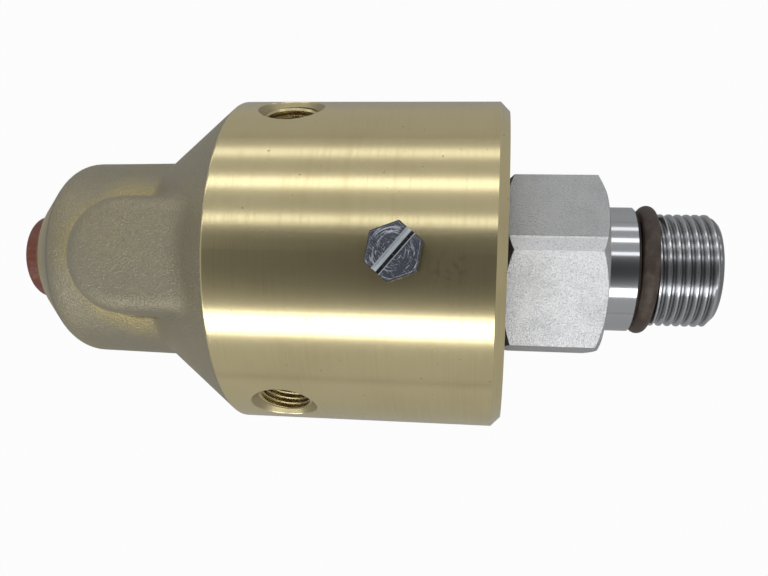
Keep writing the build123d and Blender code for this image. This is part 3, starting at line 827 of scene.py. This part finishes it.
# Painted light: low in the slot, one half of its floor is drawn pale and less metallic, and the
# other half is left dark.
slot_light = slot_floor * zinc.ramp(slot_side, -0.02, -0.15)
# Painted shade: the head's sides below its top are drawn in a darker zinc.
on_side = zinc.ramp(zinc.z, screw_top_z - 0.02, screw_top_z - 0.10) * (1.0 - in_slot)
# Painted highlight: a glint on an arc of the head's top, where the scratch arcs are drawn paler.
painted_arc_glint = (
    zinc.ramp(from_middle, 2.3, 2.7) * zinc.ramp(from_middle, 3.8, 3.6)
    * zinc.ramp(swing, 1.15, 1.35) * zinc.ramp(swing, 2.65, 2.35)
)
scratches_and_glint = zinc.ramp(arcs, 0.56, 0.66) * 0.85 + zinc.ramp(hairs, 0.56, 0.66) * 0.5
scratches_and_glint = zinc.maths(
    "MAXIMUM", scratches_and_glint * (1.0 - on_side * 0.7), painted_arc_glint * zinc.ramp(arcs, 0.44, 0.54)
)
# Pale marks: the real scratches, together with the painted highlights in and beside the slot.
scratches_and_highlights = zinc.maths("MAXIMUM", zinc.maths("MAXIMUM", scratches_and_glint, in_slot * 0.9), slot_light)
zinc.give(zinc.shader, {
    "Base Color": zinc.blend(scratches_and_highlights, zinc.blend(on_side, zinc_tone, shaded_zinc), zinc_pale),
    "Roughness": 0.16 + scratches_and_highlights * 0.30 + zinc.grain(1.2) * 0.08,
    "Metallic": 0.95 - slot_light * 0.70,
})
zinc.relief((arcs - 0.5) * 0.016 + (hairs - 0.5) * 0.008 + (zinc.grain(2.2) - 0.5) * 0.012)

across_slot = Vector((sin(radians(slot_turn)), -cos(radians(slot_turn)), 0))
middle = Vector((grease_x, 0, 0))
screw = bmesh.new()
bmesh.ops.create_circle(
    screw, cap_ends=True, segments=6, radius=head_across / 2 / cos(pi / 6),
    matrix=(
        Matrix.Translation((grease_x, 0, screw_seat_z))
        @ Matrix.Rotation(radians(30 - head_turn), 4, "Z")
    ),
)
grown = bmesh.ops.extrude_face_region(screw, geom=screw.faces[:], use_keep_orig=True)["geom"]
bmesh.ops.translate(
    screw, vec=(0, 0, screw_top_z - screw_seat_z),
    verts=[v for v in grown if isinstance(v, bmesh.types.BMVert)],
)
bmesh.ops.bevel(
    screw, geom=[e for e in screw.edges if min(v.co.z for v in e.verts) > screw_top_z - 0.01],
    offset=head_chamfer, affect="EDGES", segments=1, profile=0.5, material=-1,
)
for plane, normal in (
    (middle + across_slot * slot_wall, across_slot),
    (middle - across_slot * slot_wall, across_slot),
    (Vector((0, 0, slot_z)), Vector((0, 0, 1))),
):
    bmesh.ops.bisect_plane(
        screw, geom=screw.verts[:] + screw.edges[:] + screw.faces[:], dist=1e-5,
        plane_co=plane, plane_no=normal,
    )
bmesh.ops.delete(screw, context="FACES_ONLY", geom=[
    face for face in screw.faces
    if abs((face.calc_center_median() - middle).dot(across_slot)) < slot_wall - 0.01
    and face.calc_center_median().z > slot_z + 0.01
])
for side in (-1, 1):
    bmesh.ops.contextual_create(screw, geom=[
        v for v in screw.verts
        if abs((v.co - middle).dot(across_slot) - side * slot_wall) < 1e-3
        and v.co.z > slot_z - 1e-3
    ])
bmesh.ops.contextual_create(screw, geom=[
    v for v in screw.verts
    if abs(abs((v.co - middle).dot(across_slot)) - slot_wall) < 1e-3
    and abs(v.co.z - slot_z) < 1e-3
])
bmesh.ops.create_cone(
    screw, cap_ends=True, segments=48, radius1=shank_r, radius2=shank_r,
    depth=screw_seat_z - shank_end_z,
    matrix=Matrix.Translation((grease_x, 0, (screw_seat_z + shank_end_z) / 2)),
)
screw_piece = finished(screw, "grease_screw", "housing_set", zinc)
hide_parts("grease_plug")


# Grease plug gasket: a thin ring of nylon that the screw's head presses on the barrel, to
# keep the grease in.
gasket_tone = (0.640, 0.620, 0.540)
gasket_dark = (0.520, 0.500, 0.430)

gasket = Finish("gasket_nylon", Metallic=0.0)
gasket.give(gasket.shader, {
    "Base Color": gasket.blend(gasket.grain(1.0), gasket_tone, gasket_dark),
    "Roughness": 0.45 + gasket.grain(2.0) * 0.10,
})
gasket.put_on(nodes["grease_gasket"])


# Floor: a plain pale table top, on which the barrel lies. It is white to the eye and duller in
# reflections, and keeps the union's shadow.
floor_z = cad_box[0].z - 0.0002
floor_size = 3.0
floor_shade = (0.47, 0.47, 0.47)
white = (1.0, 1.0, 1.0)
seen_share = 0.965
mirrored_share = 0.12

floor_mesh = bmesh.new()
bmesh.ops.create_grid(floor_mesh, x_segments=1, y_segments=1, size=floor_size)
floor_mesh.transform(Matrix.Translation((0, 0, floor_z)))
floor_data = bpy.data.meshes.new("floor")
floor_mesh.to_mesh(floor_data)
floor_mesh.free()
floor = bpy.data.objects.new("floor", floor_data)
bpy.context.scene.collection.objects.link(floor)

table_top = bpy.data.materials.new("table_top")
table = Nodes(table_top)
seen = table.maths(
    "MAXIMUM", table.node("LightPath", output="Is Camera Ray"),
    table.node("LightPath", output="Is Transmission Ray"),
)
mirrored = table.node("LightPath", output="Is Glossy Ray")
table.show(
    "Material", seen * seen_share + mirrored * mirrored_share,
    table.node("BsdfDiffuse", Color=floor_shade), table.node("Emission", Color=white, Strength=1.0),
)
floor_data.materials.append(table_top)


# Studio light: three long tubes to one side, a broad soft window to the other, and a plain
# grey room that is darker straight above. A row is a lamp's angle round the union from
# straight up, how many degrees it spreads, and its brightness.
light_rows = (
    ("tube_low", 75.5, 7.5, 1.15),
    ("tube_middle", 51.0, 7.5, 1.85),
    ("tube_high", 25.0, 6.0, 1.52),
    ("window", -46.0, 16.0, 3.2),
)
light_tint = (0.97, 1.0, 1.04)
light_distance = 0.9
light_length = 1.7
light_middle_x = -0.035
room_tint = (0.985, 1.0, 1.02)
room_level = 0.45
dark_level = 0.06
dark_way = Vector((-0.05, -0.06, 1.0))
dark_edge = 41.0
dark_middle = 3.0

world = bpy.data.worlds.new("room")
bpy.context.scene.world = world
room = Nodes(world)
overhead = room.node(
    "VectorMath", {"operation": "DOT_PRODUCT"}, output="Value",
    places=((0, room.node("TexCoord", output="Generated")), (1, dark_way.normalized())),
)
level = room.ramp(
    overhead, cos(radians(dark_edge)), cos(radians(dark_middle)), room_level, dark_level
)
room.show(
    "World", room.node("LightPath", output="Is Camera Ray"),
    room.node("Background", Color=room_tint, Strength=level),
    room.node("Background", Color=white, Strength=1.0),
)

for name, angle, spread, radiance in light_rows:
    lamp = bpy.data.lights.new(name, "AREA")
    lamp.shape = "RECTANGLE"
    lamp.size = light_length
    lamp.size_y = 2 * light_distance * tan(radians(spread / 2))
    lamp.energy = radiance * pi * lamp.size * lamp.size_y
    lamp.color = light_tint
    holder = bpy.data.objects.new(name, lamp)
    bpy.context.scene.collection.objects.link(holder)
    holder.matrix_world = (
        Matrix.Translation((light_middle_x, 0, 0))
        @ Matrix.Rotation(radians(-angle), 4, "X")
        @ Matrix.Translation((0, 0, light_distance))
    )


# Camera: hand-held close above the union, a little to its port side, with the frame's right
# and the way back from the lens given as directions.
camera_place = (-0.01940, -0.00838, 0.13848)
camera_right = Vector((0.99342, 0.02925, -0.11071))
camera_back = Vector((0.10997, 0.02602, 0.99360))

camera_data = bpy.data.cameras.new("camera")
camera_data.sensor_width = 36.0
camera_data.sensor_fit = "HORIZONTAL"
camera_data.lens = 35.19
camera_data.shift_x = -0.0269
camera_data.shift_y = 0.0540
camera_data.clip_start = 0.005
camera_data.clip_end = 50.0
camera = bpy.data.objects.new("camera", camera_data)
bpy.context.scene.collection.objects.link(camera)
right = camera_right.normalized()
back = camera_back.normalized()
up = back.cross(right).normalized()
camera.matrix_world = Matrix.Translation(camera_place) @ Matrix((
    (right.x, up.x, back.x, 0), (right.y, up.y, back.y, 0), (right.z, up.z, back.z, 0), (0, 0, 0, 1),
))
bpy.context.scene.camera = camera
bpy.context.scene.view_settings.view_transform = "Standard"
